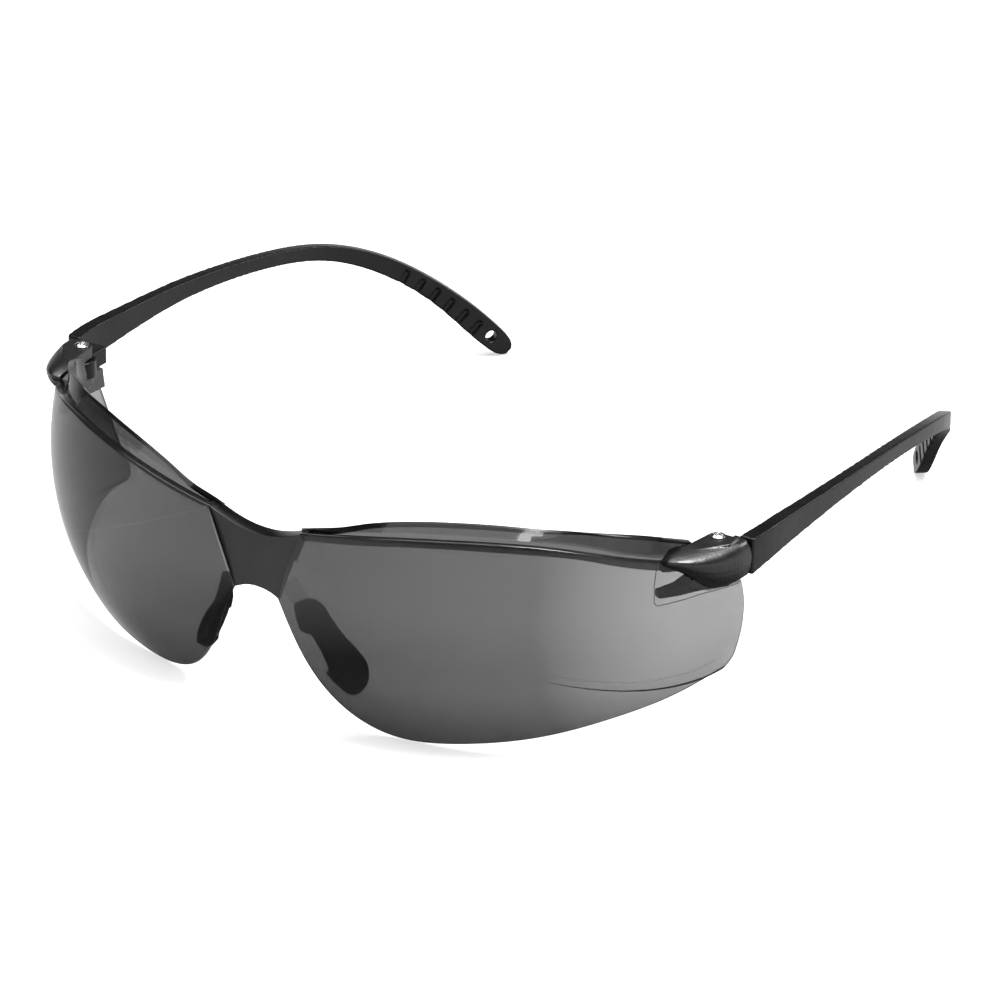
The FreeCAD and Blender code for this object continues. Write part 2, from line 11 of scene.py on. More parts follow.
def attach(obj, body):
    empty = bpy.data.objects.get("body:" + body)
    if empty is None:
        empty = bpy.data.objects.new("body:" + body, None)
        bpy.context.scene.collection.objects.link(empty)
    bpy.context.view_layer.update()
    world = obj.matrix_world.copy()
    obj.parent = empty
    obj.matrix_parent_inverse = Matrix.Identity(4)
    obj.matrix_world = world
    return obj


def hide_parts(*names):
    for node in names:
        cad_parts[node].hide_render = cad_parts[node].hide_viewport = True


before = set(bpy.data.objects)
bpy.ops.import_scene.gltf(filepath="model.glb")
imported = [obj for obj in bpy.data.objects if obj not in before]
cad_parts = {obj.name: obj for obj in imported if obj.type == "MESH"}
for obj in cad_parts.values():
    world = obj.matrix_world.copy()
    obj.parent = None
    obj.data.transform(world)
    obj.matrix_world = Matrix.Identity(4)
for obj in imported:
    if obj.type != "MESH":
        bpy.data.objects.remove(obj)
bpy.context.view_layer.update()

MM = 0.001
LENS_RADIUS = 50.4
LENS_THICKNESS = 2.0
LENS_CENTRE = Vector((17.1, -24.6, 28.06))
LENS_TURN = math.radians(37.0)
OUTWARD = Vector((math.sin(LENS_TURN), -math.cos(LENS_TURN), 0))
ACROSS = Vector((math.cos(LENS_TURN), math.sin(LENS_TURN), 0))
UP = Vector((0, 0, 1))
CAMERA_PLACE = Vector((0.4370, -0.67063, 0.40864))
CAMERA_BACK = Vector((0.4884, -0.7506, 0.4450))
CAMERA_ROLL = math.radians(0.694)
CLOUD_SCALE = 160.0
SMEAR_SCALE = CLOUD_SCALE * 2.3


# ---------------------------------------------------------------- camera

def make_camera():
    back = CAMERA_BACK.normalized()
    level = Vector((-back.y, back.x, 0)).normalized()
    upright = back.cross(level)
    right = level * math.cos(CAMERA_ROLL) + upright * math.sin(CAMERA_ROLL)
    up = back.cross(right)
    data = bpy.data.cameras.new("camera")
    data.lens = 180.0
    data.sensor_width = 36.0
    data.clip_start, data.clip_end = 0.05, 50.0
    camera = bpy.data.objects.new("camera", data)
    turn = Matrix((right, up, back)).transposed().to_4x4()
    camera.matrix_world = Matrix.Translation(CAMERA_PLACE) @ turn
    bpy.context.scene.collection.objects.link(camera)
    bpy.context.scene.camera = camera


# ---------------------------------------------------------------- materials

def new_material(name):
    material = bpy.data.materials.new(name)
    material.use_nodes = True
    tree = material.node_tree
    shader = tree.nodes["Principled BSDF"]
    return material, tree, shader


def noise(tree, scale, detail=2.0, roughness=0.5, stretch=(1, 1, 1)):
    where = tree.nodes.new("ShaderNodeTexCoord")
    mapping = tree.nodes.new("ShaderNodeMapping")
    mapping.inputs["Scale"].default_value = stretch
    texture = tree.nodes.new("ShaderNodeTexNoise")
    texture.inputs["Scale"].default_value = scale
    texture.inputs["Detail"].default_value = detail
    texture.inputs["Roughness"].default_value = roughness
    tree.links.new(where.outputs["Object"], mapping.inputs["Vector"])
    tree.links.new(mapping.outputs["Vector"], texture.inputs["Vector"])
    return texture.outputs["Fac"]


def span(tree, value, low, high, start=0.3, end=0.7):
    node = tree.nodes.new("ShaderNodeMapRange")
    node.inputs["From Min"].default_value = start
    node.inputs["From Max"].default_value = end
    node.inputs["To Min"].default_value = low
    node.inputs["To Max"].default_value = high
    tree.links.new(value, node.inputs["Value"])
    return node.outputs["Result"]


def two_tone(tree, value, dark, light, start=0.3, end=0.7):
    ramp = tree.nodes.new("ShaderNodeValToRGB")
    ramp.color_ramp.elements[0].position = start
    ramp.color_ramp.elements[0].color = (*dark, 1)
    ramp.color_ramp.elements[1].position = end
    ramp.color_ramp.elements[1].color = (*light, 1)
    tree.links.new(value, ramp.inputs["Fac"])
    return ramp.outputs["Color"]


def bump(tree, shader, height, strength, distance):
    node = tree.nodes.new("ShaderNodeBump")
    node.inputs["Strength"].default_value = strength
    node.inputs["Distance"].default_value = distance
    tree.links.new(height, node.inputs["Height"])
    tree.links.new(node.outputs["Normal"], shader.inputs["Normal"])


def plastic(name, dark, light, rough, grain, depth, specular=0.5, ior=1.5, alpha=1.0):
    """Moulded plastic: clouded colour, uneven gloss and a fine grain."""
    material, tree, shader = new_material(name)
    clouds = noise(tree, CLOUD_SCALE, 3.0)
    tree.links.new(two_tone(tree, clouds, dark, light), shader.inputs["Base Color"])
    smears = noise(tree, SMEAR_SCALE, 4.0, 0.6)
    tree.links.new(span(tree, smears, rough[0], rough[1]), shader.inputs["Roughness"])
    bump(tree, shader, noise(tree, grain, 3.0, 0.55), 1.0, depth)
    shader.inputs["Specular IOR Level"].default_value = specular
    shader.inputs["IOR"].default_value = ior
    shader.inputs["Alpha"].default_value = alpha
    return material


def metal(name, dark, light, rough, grain, stretch):
    material, tree, shader = new_material(name)
    shader.inputs["Metallic"].default_value = 1.0
    clouds = noise(tree, 900.0, 3.0)
    tree.links.new(two_tone(tree, clouds, dark, light), shader.inputs["Base Color"])
    lines = noise(tree, grain, 4.0, 0.6, stretch)
    tree.links.new(span(tree, lines, rough[0], rough[1]), shader.inputs["Roughness"])
    bump(tree, shader, lines, 1.0, 0.000006)
    return material


def sideways_and_up(tree):
    """How far a point is to either side and how high it is, in metres."""
    where = tree.nodes.new("ShaderNodeTexCoord")
    split = tree.nodes.new("ShaderNodeSeparateXYZ")
    tree.links.new(where.outputs["Object"], split.inputs["Vector"])
    side = tree.nodes.new("ShaderNodeMath")
    side.operation = "ABSOLUTE"
    tree.links.new(split.outputs["X"], side.inputs[0])
    return side, split


def denser_outside(material):
    """The brow's tint thickens towards the corner pieces."""
    tree = material.node_tree
    side, _ = sideways_and_up(tree)
    tree.links.new(span(tree, side.outputs["Value"], 0.79, 0.85, 0.046, 0.061),
                   tree.nodes["Principled BSDF"].inputs["Alpha"])
    return material


def tint_with_painted_light(tree, shader, densest):
    """A graded tint with painted light: clearer towards the outer sides as a painted reflection, and denser
    towards the foot as painted shade.
    """
    side, split = sideways_and_up(tree)
    # Painted reflection: the lens's alpha clears from the middle towards its outer sides.
    painted_clearing_to_side = span(tree, side.outputs["Value"], densest, densest - 0.03, 0.012, 0.05)
    painted_outer_reflection = span(tree, side.outputs["Value"], 0.0, -0.12, 0.049, 0.064)
    # Painted shade: the lens's alpha grows denser towards its foot.
    foot = span(tree, split.outputs["Z"], 0.03, 0.0, 0.001, 0.014)
    total = painted_clearing_to_side
    for term in (painted_outer_reflection, foot):
        both = tree.nodes.new("ShaderNodeMath")
        both.operation = "ADD"
        tree.links.new(total, both.inputs[0])
        tree.links.new(term, both.inputs[1])
        total = both.outputs["Value"]
    tree.links.new(total, shader.inputs["Alpha"])


def smoke_lens(name, **look):
    return plastic(name, (0.0035, 0.0035, 0.004), (0.0045, 0.0045, 0.005), (0.015, 0.03), 900.0,
                   0.0000004, **look)


def smoke(name, **look):
    return plastic(name, (0.004, 0.004, 0.0045), (0.006, 0.006, 0.0065), (0.06, 0.12), 1200.0,
                   0.000002, 0.3, 1.4, **look)


def make_materials():
    lens = smoke_lens("smoke_lens")
    # The lens's alpha is graded with painted reflection at the sides and painted shade at the foot.
    tint_with_painted_light(lens.node_tree, lens.node_tree.nodes["Principled BSDF"], 0.955)
    return {
        "lens": lens,
        "lens_back": smoke_lens("smoke_lens_back", specular=0.0, alpha=0.05),
        "lens_edge": plastic("smoke_lens_edge", (0.003, 0.003, 0.0035), (0.006, 0.006, 0.0065), (0.08, 0.16),
                             1500.0, 0.000004, alpha=0.9),
        "shelf": denser_outside(smoke("smoke_polycarbonate")),
        "flange": smoke("smoke_flange", alpha=0.7),
        "arm": smoke("smoke_arm", alpha=0.12),
        "bridge": plastic("smoke_bridge", (0.012, 0.012, 0.0125), (0.017, 0.017, 0.0175), (0.3, 0.38),
                          2600.0, 0.000004, 0.4),
        "rim": plastic("smoke_rim", (0.002, 0.002, 0.0023), (0.003, 0.003, 0.0033), (0.2, 0.28),
                       2600.0, 0.000004, 0.35),
        "endpiece": plastic("gloss_black", (0.0025, 0.0025, 0.0028), (0.0045, 0.0045, 0.0048), (0.27, 0.37),
                            1700.0, 0.00006, 0.8),
        "temple": plastic("satin_black", (0.0025, 0.0025, 0.0028), (0.0045, 0.0045, 0.0048), (0.24, 0.32),
                          3000.0, 0.00001, 0.3),
        "pad": plastic("soft_black", (0.004, 0.004, 0.0042), (0.007, 0.007, 0.0072), (0.45, 0.6),
                       2400.0, 0.00002),
        "steel": metal("bright_steel", (0.45, 0.45, 0.46), (0.62, 0.62, 0.63), (0.12, 0.26), 2500.0,
                       (1, 1, 6)),
        "brass": metal("brass", (0.5, 0.34, 0.12), (0.7, 0.5, 0.2), (0.2, 0.34), 2500.0, (1, 1, 6)),
    }


# ---------------------------------------------------------------- meshes

def put(name, mesh, material, body, slot, *nodes):
    """A finished piece: smooth shading, its material, its body and the CAD nodes it stands for. The slot
    argument is not used.
    """
    obj = bpy.data.objects.new(name, mesh)
    bpy.context.scene.collection.objects.link(obj)
    mesh.materials.clear()
    for m in material if isinstance(material, list) else [material]:
        mesh.materials.append(m)
    mesh.polygons.foreach_set("use_smooth", [True] * len(mesh.polygons))
    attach(obj, body)
    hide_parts(*nodes)
    return obj


def mirrored(mesh, name):
    other = mesh.copy()
    other.name = name
    other.transform(Matrix.Diagonal((-1, 1, 1, 1)))
    other.flip_normals()
    return other


def welded(node):
    """The CAD node's own surface as one closed bmesh."""
    surface = bmesh.new()
    surface.from_mesh(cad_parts[node].data)
    bmesh.ops.remove_doubles(surface, verts=surface.verts, dist=0.000001)
    return surface


def remeshed(node, voxel):
    """An even, fine net over the CAD node's surface."""
    surface = welded(node)
    mesh = bpy.data.meshes.new(node + "_net")
    surface.to_mesh(mesh)
    surface.free()
    return net_over(mesh, voxel)


def net_over(mesh, voxel):
    obj = bpy.data.objects.new("net", mesh)
    bpy.context.scene.collection.objects.link(obj)
    remesh = obj.modifiers.new("net", "REMESH")
    remesh.mode = "VOXEL"
    remesh.voxel_size = voxel * MM
    remesh.adaptivity = 0.0
    graph = bpy.context.evaluated_depsgraph_get()
    net = bpy.data.meshes.new_from_object(obj.evaluated_get(graph))
    bpy.data.objects.remove(obj)
    return net


def hermite(x, y, at):
    """A smooth curve through points, read at other places along it."""
    x, y, at = np.asarray(x, float), np.asarray(y, float), np.asarray(at, float)
    slope = np.gradient(y, x, axis=0)
    i = np.clip(np.searchsorted(x, at, side="right") - 1, 0, len(x) - 2)
    gap = x[i + 1] - x[i]
    t = (at - x[i]) / gap
    if y.ndim == 2:
        gap, t = gap[:, None], t[:, None]
    return ((2 * t**3 - 3 * t**2 + 1) * y[i] + (t**3 - 2 * t**2 + t) * gap * slope[i]
            + (3 * t**2 - 2 * t**3) * y[i + 1] + (t**3 - t**2) * gap * slope[i + 1])


def skin(name, rings, kinds=None):
    """A closed skin over rings of points in millimetres. kinds gives each strip's material."""
    rings = np.asarray(rings, float)
    count, n = rings.shape[:2]
    faces, found = [], []
    for i in range(count - 1):
        for j in range(n):
            k = (j + 1) % n
            faces.append((i * n + j, (i + 1) * n + j, (i + 1) * n + k, i * n + k))
            found.append(kinds[j] if kinds is not None else 0)
    for i, turn in ((0, 1), (count - 1, -1)):
        faces.append(tuple(i * n + j for j in range(n))[::turn])
        found.append(0)
    mesh = bpy.data.meshes.new(name)
    mesh.from_pydata([tuple(p * MM) for p in rings.reshape(-1, 3)], [], faces)
    mesh.polygons.foreach_set("material_index", found)
    work = bmesh.new()
    work.from_mesh(mesh)
    bmesh.ops.recalc_face_normals(work, faces=work.faces)
    work.to_mesh(mesh)
    work.free()
    return mesh


def prism(name, outline, low, high):
    return skin(name, [[(x, y, z) for x, y in outline] for z in (low, high)])


def joined(meshes, voxel, passes):
    """Overlapping closed skins made into one, with softened edges."""
    work = bmesh.new()
    for mesh in meshes:
        work.from_mesh(mesh)
    whole = bpy.data.meshes.new("joined")
    work.to_mesh(whole)
    work.free()
    return soften(net_over(whole, voxel), passes)


def coordinates(mesh):
    co = np.empty(len(mesh.vertices) * 3)
    mesh.vertices.foreach_get("co", co)
    return co.reshape(-1, 3)


def soften(mesh, passes):
    """Rounds the edges of a net by moving each point part of the way to the middle of its neighbours."""
    co = coordinates(mesh)
    ends = np.empty(len(mesh.edges) * 2, int)
    mesh.edges.foreach_get("vertices", ends)
    a, b = ends.reshape(-1, 2).T
    count = np.bincount(np.concatenate([a, b]), minlength=len(co))
    for _ in range(passes):
        total = np.stack([np.bincount(np.concatenate([a, b]), np.concatenate([co[b, k], co[a, k]]), len(co))
                          for k in range(3)], axis=1)
        co += 0.5 * (total / count[:, None] - co)
    mesh.vertices.foreach_set("co", co.ravel())
    mesh.update()
    return mesh


def moulded(node, voxel, passes):
    return soften(remeshed(node, voxel), passes)


def right_then_left(mesh, name):
    """The right-hand mesh and then its mirror image, each with its side."""
    yield "right", mesh
    yield "left", mirrored(mesh, f"{name}_left_mesh")


def both_sides(name, mesh, material, slot, body=None):
    """The right-hand piece and its mirror image."""
    for side, piece in right_then_left(mesh, name):
        put(f"{name}_{side}_piece", piece, material, body or f"{name}_{side}", slot, f"{name}_{side}")


# ---------------------------------------------------------------- lenses

def boundary_loop(faces):
    """The points along the open edge of a patch of faces, in order."""
    patch = set(faces)
    links = {}
    for face in faces:
        for loop in face.loops:
            edge = loop.edge
            if sum(f in patch for f in edge.link_faces) == 1:
                links[loop.vert] = loop.link_loop_next.vert
    start = next(iter(links))
    points, vert = [start.co.copy()], links[start]
    while vert is not start:
        points.append(vert.co.copy())
        vert = links[vert]
    return points


def lens_edge_angles():
    """Tangents of the angles across and up along the outline of the lens's front."""
    surface = welded("lens_right")
    centre = LENS_CENTRE * MM
    front = [f for f in surface.faces
             if all(abs((v.co - centre).length / MM - LENS_RADIUS) < 0.03 for v in f.verts)]
    loop = boundary_loop(front)
    surface.free()
    way = [(p - centre) for p in loop]
    return np.array([(d.dot(ACROSS) / d.dot(OUTWARD), d.dot(UP) / d.dot(OUTWARD)) for d in way])


def even_loop(points, step, corner=0.35):
    """A closed line redrawn with even steps, smooth between its corners."""
    edge = np.roll(points, -1, axis=0) - points
    way = np.arctan2(edge[:, 1], edge[:, 0])
    turn = np.abs((way - np.roll(way, 1) + np.pi) % (2 * np.pi) - np.pi)
    corners = np.flatnonzero(turn > corner)
    count = len(points)
    out = []
    for here, there in zip(corners, np.roll(corners, -1)):
        run = points[np.arange(here, there + (count if there <= here else 0) + 1) % count]
        length = np.concatenate([[0], np.cumsum(np.linalg.norm(np.diff(run, axis=0), axis=1))])
        stations = np.linspace(0, length[-1], max(2, int(round(length[-1] / step))) + 1)[:-1]
        out.append(hermite(length, run, stations))
    return np.concatenate(out)


def unit(v):
    return v / np.linalg.norm(v, axis=-1, keepdims=True)


def ray(angles):
    """Unit vectors from the ball's centre for tangents of the angles across and up."""
    across, outward, up = (np.array(v) for v in (ACROSS, OUTWARD, UP))
    return unit(outward + angles[:, :1] * across + angles[:, 1:] * up)


def lens_mesh():
    """A closed skin: rings out over the front, round the polished edge and back in over the rear."""
    outline = even_loop(lens_edge_angles(), 0.009)
    way = ray(outline)
    along = unit(np.roll(way, -1, axis=0) - np.roll(way, 1, axis=0))
    inward = unit(np.cross(way, along))
    middle = ray(np.array([[0.0, -0.2]]))[0]
    inward *= np.sign(np.sum(inward * (middle - way), axis=1))[:, None]
    rounding = 0.3
    steps, rings = 4, 34
    depth = LENS_RADIUS - LENS_THICKNESS

    def ring_on(radius, share):
        edge = unit(way * LENS_RADIUS + inward * rounding)
        flat = edge / (edge @ np.array(OUTWARD))[:, None]
        core = middle / (middle @ np.array(OUTWARD))
        return unit(core + share * (flat - core)) * radius

    rows = [ring_on(LENS_RADIUS, (i + 1) / rings) for i in range(rings)]
    for i in range(1, steps + 1):
        a = math.pi / 2 * i / steps
        rows.append(way * (LENS_RADIUS - rounding * (1 - math.cos(a)))
                    + inward * rounding * (1 - math.sin(a)))
    for i in range(steps, 0, -1):
        a = math.pi / 2 * i / steps
        rows.append(way * (depth + rounding * (1 - math.cos(a))) + inward * rounding * (1 - math.sin(a)))
    rows += [ring_on(depth, (i + 1) / rings) for i in reversed(range(rings))]
    n = len(way)
    points = np.concatenate([middle[None] * LENS_RADIUS, *rows, middle[None] * depth]) + np.array(LENS_CENTRE)
    last = len(points) - 1
    faces, kinds = [], []
    for j in range(n):
        k = (j + 1) % n
        faces.append((0, 1 + j, 1 + k))
        kinds.append(0)
        for i in range(len(rows) - 1):
            here, there = 1 + i * n, 1 + (i + 1) * n
            faces.append((here + j, there + j, there + k, here + k))
            top_face = outline[j, 1] > 0.1 and i < rings + 2 * steps
            kinds.append(0 if i < rings - 1 else 1 if top_face or i < rings + steps - 1 else 2)
        faces.append((last, 1 + (len(rows) - 1) * n + k, 1 + (len(rows) - 1) * n + j))
        kinds.append(2)
    mesh = bpy.data.meshes.new("lens_mesh")
    mesh.from_pydata([tuple(p * MM) for p in points], [], faces)
    mesh.polygons.foreach_set("material_index", kinds)
    mesh.update()
    tidy = bmesh.new()
    tidy.from_mesh(mesh)
    bmesh.ops.recalc_face_normals(tidy, faces=tidy.faces)
    tidy.to_mesh(mesh)
    tidy.free()
    return mesh


def make_lenses(materials):
    mesh = lens_mesh()
    kinds = np.empty(len(mesh.polygons), int)
    mesh.polygons.foreach_get("material_index", kinds)
    for side, piece in right_then_left(mesh, "lens"):
        looks = [materials[key] for key in ("lens", "lens_edge", "lens_back")]
        put(f"lens_{side}_piece", piece, looks, "front", "smoke_lens", f"lens_{side}")
        piece.polygons.foreach_set("material_index", kinds)


# The thin moulded line round the prongs' seat, on the lens: tangents of the angles across and up.
SEAT_LINE = [(0.508, 0.185), (0.486, 0.091), (0.486, 0.02), (0.5, 0.004), (0.629, -0.002), (0.756, -0.006),
             (0.907, -0.024), (1.12, -0.052)]
SEAT_LINE_RADIUS = 0.06


def make_seat_lines(materials):
    line = np.array(SEAT_LINE)
    line = np.concatenate([a + (b - a) * np.linspace(0, 1, 12, endpoint=False)[:, None]
                           for a, b in zip(line[:-1], line[1:])])
    way = ray(line)
    along = unit(np.gradient(way, axis=0))
    over = np.cross(way, along)
    turn = np.linspace(0, 2 * math.pi, 8, endpoint=False)
    rings = [np.array(LENS_CENTRE) + w * LENS_RADIUS
             + SEAT_LINE_RADIUS * (np.cos(turn)[:, None] * w + np.sin(turn)[:, None] * o)
             for w, o in zip(way, over)]
    mesh = skin("seat_line_mesh", rings)
    for side, piece in right_then_left(mesh, "seat_line"):
        put(f"lens_seat_line_{side}_piece", piece, materials["lens_edge"], "front", "smoke_lens",
            f"lens_{side}")


# ---------------------------------------------------------------- front frame

# The brow at each angle round the lens: the lens's top edge, then the rear rim's distance and height.
BROW = [(-12, 36.9, 46.8, 36.5), (-9, 37.6, 46.4, 37.4), (-3, 38.7, 45.9, 38.9), (5, 40, 45, 41.1),
        (14, 41.2, 44.2, 42.5), (23, 41.75, 43.8, 43.05), (32, 41.65, 43.9, 43.05), (41, 41, 44.7, 42.6),
        (49, 39.8, 45.7, 42), (56, 37.95, 46.9, 41), (63, 36.1, 47.9, 39.7), (69, 34.6, 48.6, 38.1),
        (73, 33.4, 48.7, 36.9)]
# Where the brow starts and ends, in the same degrees.
BROW_FROM, BROW_TO = -11.0, 73.0
BROW_THICKNESS = 1.1
FLANGE_DROP = 2.2
RIM = 0.45


def lens_back(z):
    """Distance from the ball's upright axis to just inside the lens."""
    inside = LENS_RADIUS - LENS_THICKNESS - 0.08
    return math.sqrt(inside**2 - (z - LENS_CENTRE.z) ** 2)


def brow_ring(angle, top, rim_out, rim_z):
    foot = top - FLANGE_DROP
    half_way = foot / 2 + top / 2
    edge, rim = np.array([lens_back(top), top]), np.array([rim_out, rim_z])
    along = unit(rim - edge)
    under = np.array([-along[1], along[0]])
    inset = min(max(0.0, -along[0]) * BROW_THICKNESS, np.linalg.norm(rim - edge) / 2)
    profile = [
        (lens_back(foot), foot), (lens_back(half_way), half_way), edge,
        edge * 0.5 + rim * 0.5, rim - along * RIM, rim - along * 0.1 + under * 0.02, rim + under * 0.12,
        rim + under * 1.0, rim - along * 0.1 + under * 1.12, rim - along * RIM + under * 1.12,
        edge + under * BROW_THICKNESS + along * inset,
        (lens_back(half_way) - BROW_THICKNESS, half_way - 0.3),
        (lens_back(foot) - BROW_THICKNESS, foot + 0.1), (lens_back(foot) - BROW_THICKNESS / 2, foot - 0.1),
    ]
    turn = math.radians(angle)
    return [(LENS_CENTRE.x + p[0] * math.sin(turn), LENS_CENTRE.y - p[0] * math.cos(turn), p[1])
            for p in profile]


def make_brow(materials):
    table = np.array(BROW, float)
    angles = np.linspace(BROW_FROM, BROW_TO, 113)
    rows = hermite(table[:, 0], table[:, 1:], angles)
    kinds = [2, 2, 0, 0, 1, 1, 1, 1, 1, 0, 2, 2, 2, 2]
    mesh = skin("brow_mesh", [brow_ring(a, *row) for a, row in zip(angles, rows)], kinds)
    mesh.set_sharp_from_angle(angle=math.radians(38))
    found = np.empty(len(mesh.polygons), int)
    mesh.polygons.foreach_get("material_index", found)
    for side, piece in right_then_left(mesh, "brow"):
        put(f"brow_{side}_piece", piece, [materials[key] for key in ("shelf", "rim", "flange")], "front",
            "smoke_polycarbonate", "front_frame")
        piece.polygons.foreach_set("material_index", found)


def rounded(obj, width):
    """Rounds the sharp edges of a piece."""
    bevel = obj.modifiers.new("edges", "BEVEL")
    bevel.width = width * MM
    bevel.segments = 3
    bevel.limit_method = "ANGLE"
    bevel.angle_limit = math.radians(40.0)
    bevel.harden_normals = False
    return obj


BRIDGE_TOP, BRIDGE_FOOT = 37.4, 23.3
BRIDGE_TOP_HALF, BRIDGE_FOOT_HALF = 9.9, 4.7
BRIDGE_FRONT, BRIDGE_BACK = -73.5, -70.7
BRIDGE_SAG, BRIDGE_ARCH = 2.8, 1.3
BRIDGE_DISH, BRIDGE_DISH_HALF = 0.6, 11.9


def make_bridge(materials):
    """A saddle between the lenses: dished in front, arched below and cut down into a curve on top."""
    across = np.linspace(-1, 1, 41)
    top = BRIDGE_TOP - BRIDGE_SAG * (1 - np.abs(across) ** 2.2)
    foot = BRIDGE_FOOT + BRIDGE_ARCH * (1 - across**2)
    rings = []
    for s in np.linspace(0, 1, 25):
        z = top + (foot - top) * s
        height = (z - BRIDGE_FOOT) / (BRIDGE_TOP - BRIDGE_FOOT)
        x = across * (BRIDGE_FOOT_HALF + height * (BRIDGE_TOP_HALF - BRIDGE_FOOT_HALF))
        dish = BRIDGE_DISH * (1 - (x / BRIDGE_DISH_HALF) ** 2)
        front = np.stack([x, BRIDGE_FRONT + dish, z], axis=1)
        behind = x * (1 - 1.9 * min(1.0, s * 5) / np.abs(x).max())
        back = np.stack([behind, BRIDGE_BACK + dish, z], axis=1)[::-1]
        rings.append(np.concatenate([front, back]))
    mesh = skin("bridge_mesh", rings)
    cap = bmesh.new()
    cap.from_mesh(mesh)
    bmesh.ops.delete(cap, geom=[f for f in cap.faces if len(f.verts) > 4], context="FACES_ONLY")
    cap.verts.ensure_lookup_table()
    n = len(across)
    for start in (0, (len(rings) - 1) * 2 * n):
        for j in range(n - 1):
            face = cap.faces.new([cap.verts[start + i] for i in (j, j + 1, 2 * n - 2 - j, 2 * n - 1 - j)])
            face.material_index = 1 if start == 0 else 0
    bmesh.ops.recalc_face_normals(cap, faces=cap.faces)
    cap.to_mesh(mesh)
    cap.free()
    found = np.empty(len(mesh.polygons), int)
    mesh.polygons.foreach_get("material_index", found)
    bridge = put("bridge_piece", mesh, [materials["bridge"], materials["rim"]], "front",
                 "smoke_polycarbonate", "front_frame")
    mesh.polygons.foreach_set("material_index", found)
    rounded(bridge, 0.32)


# The two prongs that lie in the lens: tangents of the angles across and up from its ball's centre.
PRONGS = [
    [(0.541, 0.17), (0.536, 0.129), (0.585, 0.124), (0.635, 0.121), (0.763, 0.114), (0.82, 0.11),
     (0.82, 0.17)],
    [(0.514, 0.058), (0.514, 0.026), (0.617, 0.015), (0.741, 0.006), (0.814, -0.002), (1.13, -0.043),
     (1.1, 0.08), (0.82, 0.115), (0.763, 0.112), (0.721, 0.105), (0.676, 0.088), (0.617, 0.068),
     (0.562, 0.063)],
]

PRONG_BACK, PRONG_FRONT = 48.7, 50.15

PAD_MIDDLE = Vector((10.7, -67.9, 15.0))
PAD_ALONG = Vector((0.457, 0.225, -0.861))
PAD_FACE = Vector((-0.75, 0.62, -0.236))
PAD_BEND = 34.0
# The pad's outline in its own plane, along it and across it.
PAD_OUTLINE = [(-8.3, -2.9), (-9.4, -1.2), (-8.5, 1.6), (-6.5, 2.7), (-3.2, 2.8), (0, 3), (3.6, 3.6),
               (6.6, 3.7), (9, 2.2), (9.8, -0.1), (9.1, -2.3), (7.4, -3.5), (5, -3.6), (4.1, -3),
               (3.9, -2.2), (1.8, -1.8), (-0.2, -1.6), (-3.2, -1.7), (-4.4, -3.3), (-6, -3.6)]


def make_arms(materials):
    """The clear tongue from the bridge's foot into each pad."""
    across = PAD_ALONG.cross(PAD_FACE)
    rings = []
    for s in np.linspace(-13.0, 3.0, 17):
        half = 1.5 - 0.25 * math.exp(-((s + 6) / 3) ** 2)
        middle = PAD_MIDDLE + PAD_ALONG * s
        rings.append([middle + across * u + PAD_FACE * v
                      for u, v in ((-half, 0), (half, 0), (half, -1.2), (-half, -1.2))])
    mesh = skin("arm_mesh", rings)
    for side, piece in right_then_left(mesh, "arm"):
        rounded(put(f"nose_arm_{side}_piece", piece, materials["arm"], "front", "smoke_polycarbonate",
                    "front_frame"), 0.2)


def make_front(materials):
    make_brow(materials)
    make_bridge(materials)
    make_arms(materials)


# ---------------------------------------------------------------- black parts

# The shoulder from the seam forward to its lip over the lens: its crown, widest point and lower edge.
SHOULDER = [
    ((69.6, -31.95, 36.55), (71.2, -31.95, 33.5), (70.3, -31.95, 30.0)),
    ((69.4, -34.2, 36.65), (70.9, -34.9, 33.9), (69.5, -34.7, 29.6)),
    ((68.1, -36.0, 36.8), (70.1, -37.8, 34.4), (68.5, -36.9, 29.5)),
    ((66.6, -37.5, 36.95), (69.0, -40.4, 34.8), (67.3, -39.0, 29.9)),
    ((65.4, -38.9, 37.0), (67.7, -42.6, 35.3), (66.2, -40.6, 31.2)),
    ((64.5, -40.1, 37.0), (66.4, -44.2, 35.8), (65.2, -42.2, 32.8)),
    ((63.7, -41.0, 36.95), (65.0, -45.4, 36.1), (64.2, -43.9, 34.0)),
    ((62.9, -41.8, 36.8), (63.6, -46.0, 36.1), (63.1, -45.2, 34.8)),
    ((62.2, -42.6, 36.5), (62.4, -45.7, 35.9), (62.2, -45.2, 35.3)),
]
SHOULDER_WALL = 1.1
# The outline of the lugs from above, and the foot and top of each.
LUG = [(63.2, -41.5), (64.4, -33.55), (64.9, -33.05), (69.2, -33.05), (69.2, -36.0), (66.2, -40.0)]
LUG_UPPER = (34.62, 36.98)
LUG_LOWER = (29.2, 31.14)
# The net over the shapes made here, and how often its edges are softened.
NET, SOFTENED = 0.12, 5


def quarter(start, corner, end, steps):
    """A quarter of an ellipse from start to end, inside the corner."""
    start, corner, end = (np.array(p, float) for p in (start, corner, end))
    a = np.linspace(0, math.pi / 2, steps)[:, None]
    return start + (corner - start) * np.sin(a) + (end - corner) * (1 - np.cos(a))


def shoulder_ring(crown, wide, foot):
    upper = quarter(crown, (wide[0], wide[1], crown[2]), wide, 9)
    lower = quarter(wide, (wide[0], wide[1], foot[2]), foot, 7)[1:]
    inward = unit(np.array([LENS_CENTRE.x, LENS_CENTRE.y]) - crown[:2]) * SHOULDER_WALL
    inner = [(foot[0] + inward[0], foot[1] + inward[1], foot[2]),
             (crown[0] + inward[0], crown[1] + inward[1], crown[2])]
    return np.concatenate([upper, lower, inner])


def on_lens(points, radius):
    """Points over the lens, given as tangents of the angles across and up."""
    return np.array(LENS_CENTRE) + ray(np.array(points)) * radius


def plate(name, outline, low, high):
    """A thin plate that follows the lens, between two distances from its ball's centre."""
    return skin(name, [on_lens(outline, r) for r in (low, high)])


